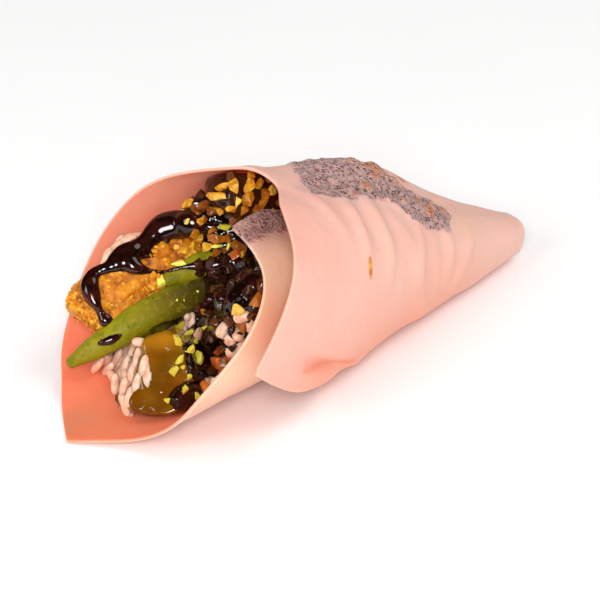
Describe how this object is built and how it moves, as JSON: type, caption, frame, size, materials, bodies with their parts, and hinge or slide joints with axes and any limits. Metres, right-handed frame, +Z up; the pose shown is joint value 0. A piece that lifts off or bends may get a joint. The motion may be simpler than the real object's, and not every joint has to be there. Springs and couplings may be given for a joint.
{
  "type": "temaki hand roll",
  "caption": "Cone-shaped hand roll in a pale pink soft wrap, lying on its side, filled with rice, breaded strip, avocado slices, chopped nuts and glossy sauces.",
  "frame": {"origin": "centre of the footprint at the resting level, under the middle of the bounding box", "axes": "+Z up, +X from the open mouth towards the closed tip, +Y towards the far side of the roll"},
  "size_m": [0.1445, 0.0716, 0.0505],
  "materials": {
    "soft_wrap": "matte soft soy paper, a little translucent, damp and speckled along the top",
    "cooked_rice": "moist cooked rice grains, softly glossy and translucent",
    "fried_crumb": "crisp golden fried breadcrumb crust",
    "avocado": "smooth moist avocado flesh, yellow-green to green",
    "amber_sauce": "thick glossy amber sauce",
    "dark_sauce": "thick glossy dark brown sauce",
    "chopped_nuts": "chopped roasted nuts coated in dark caramel"
  },
  "bodies": {
    "root": {"wrap": "soft_wrap", "rice": "cooked_rice", "breaded_strip": "fried_crumb", "avocado_front": "avocado", "avocado_back": "avocado", "sauce_pool": "amber_sauce", "dark_sauce": "dark_sauce", "nut_heap": "chopped_nuts"}
  },
  "joints": []
}
